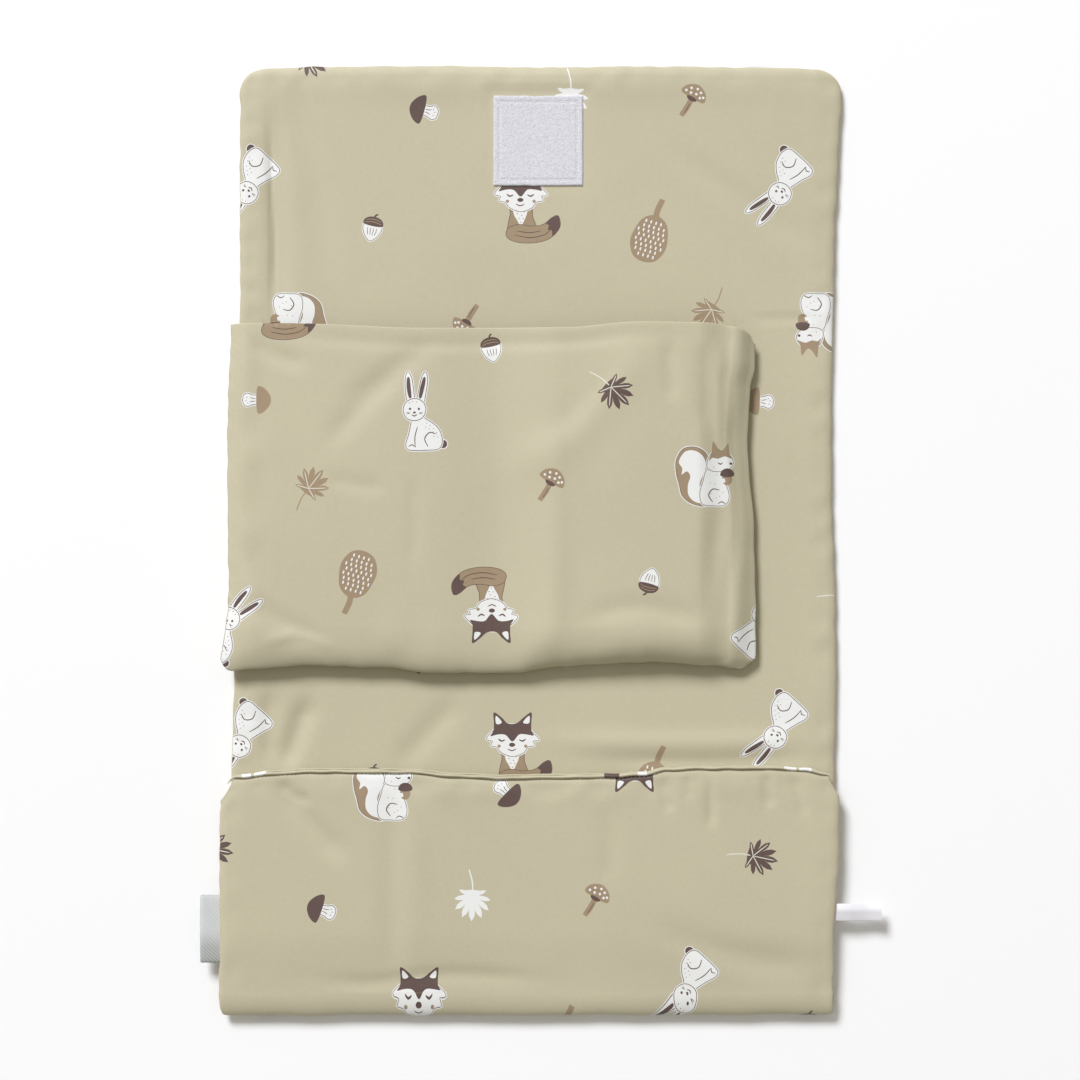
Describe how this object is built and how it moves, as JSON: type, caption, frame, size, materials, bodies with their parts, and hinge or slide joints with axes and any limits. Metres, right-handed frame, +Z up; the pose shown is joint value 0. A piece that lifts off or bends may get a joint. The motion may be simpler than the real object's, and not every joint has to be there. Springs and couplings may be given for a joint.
{
  "type": "travel changing mat",
  "caption": "Padded fold-up changing mat, laid open, with a folded end flap, a flat side pouch and a hook-and-loop closure.",
  "frame": {"origin": "middle of the mat's underside, on the surface that the mat lies on", "axes": "+X to the right, +Y towards the head end, where the loop patch is, +Z up"},
  "size_m": [0.3946, 0.5478, 0.0288],
  "materials": {
    "printed_cover": "satin",
    "wadding": "matte",
    "seam_tape": "matte",
    "loop_patch": "matte",
    "hook_patch": "matte",
    "thread": "satin",
    "ribbon": "satin",
    "care_tape": "satin"
  },
  "bodies": {
    "centre_panel": {"centre_panel_top_cover": "printed_cover", "centre_panel_wadding": "wadding", "centre_panel_back_cover": "printed_cover", "pouch_seam_tape": "seam_tape"},
    "head_spine": {"head_spine_top_cover": "printed_cover", "head_spine_wadding": "wadding", "head_spine_back_cover": "printed_cover"},
    "head_panel": {"head_panel_top_cover": "printed_cover", "head_panel_wadding": "wadding", "head_panel_back_cover": "printed_cover", "loop_patch": "loop_patch", "loop_patch_stitching": "thread"},
    "foot_spine": {"foot_spine_top_cover": "printed_cover", "foot_spine_wadding": "wadding", "foot_spine_back_cover": "printed_cover"},
    "foot_panel": {"foot_panel_top_cover": "printed_cover", "foot_panel_wadding": "wadding", "foot_panel_back_cover": "printed_cover", "hook_patch": "hook_patch", "hook_patch_stitching": "thread"},
    "end_flap": {"end_flap_top_cover": "printed_cover", "end_flap_wadding": "wadding", "end_flap_back_cover": "printed_cover", "flap_edge_band": "printed_cover", "flap_edge_stitching": "thread"},
    "pouch": {"pouch_front_layer": "printed_cover", "pouch_back_layer": "printed_cover", "pouch_front_hem": "printed_cover", "pouch_back_hem": "printed_cover"},
    "ribbon_label": {"ribbon_label": "ribbon"},
    "care_label": {"care_label": "care_tape"}
  },
  "joints": [
    {"name": "head_spine_fold", "type": "hinge", "parent": "centre_panel", "child": "head_spine", "pos_m": [0, 0.127, 0.006], "axis": [1, 0, 0], "range_deg": [0, 90]},
    {"name": "head_panel_fold", "type": "hinge", "parent": "head_spine", "child": "head_panel", "pos_m": [0, 0.1648, 0.006], "axis": [1, 0, 0], "range_deg": [0, 90]},
    {"name": "foot_spine_fold", "type": "hinge", "parent": "centre_panel", "child": "foot_spine", "pos_m": [0, -0.0775, 0.006], "axis": [-1, 0, 0], "range_deg": [0, 90]},
    {"name": "foot_panel_fold", "type": "hinge", "parent": "foot_spine", "child": "foot_panel", "pos_m": [0, -0.1075, 0.006], "axis": [-1, 0, 0], "range_deg": [0, 90]},
    {"name": "end_flap_fold", "type": "hinge", "parent": "foot_panel", "child": "end_flap", "pos_m": [0, -0.274, 0.00615], "axis": [-1, 0, 0], "range_deg": [-179.5, 0]},
    {"name": "pouch_turn", "type": "hinge", "parent": "centre_panel", "child": "pouch", "pos_m": [-0.181, 0.0235, 0.0145], "axis": [0, 1, 0], "range_deg": [-179.5, 0]},
    {"name": "ribbon_label_swing", "type": "hinge", "parent": "end_flap", "child": "ribbon_label", "pos_m": [-0.1838, -0.225, 0.0093], "axis": [0, 1, 0], "range_deg": [-35, 60], "stiffness_Nm_per_rad": 0.0002},
    {"name": "care_label_swing", "type": "hinge", "parent": "end_flap", "child": "care_label", "pos_m": [0.1758, -0.2155, 0.0093], "axis": [0, -1, 0], "range_deg": [-20, 70], "stiffness_Nm_per_rad": 0.0001}
  ],
  "couplings": [
    {"joint": "head_panel_fold", "follows": "head_spine_fold", "ratio": 1},
    {"joint": "foot_panel_fold", "follows": "foot_spine_fold", "ratio": 1}
  ]
}
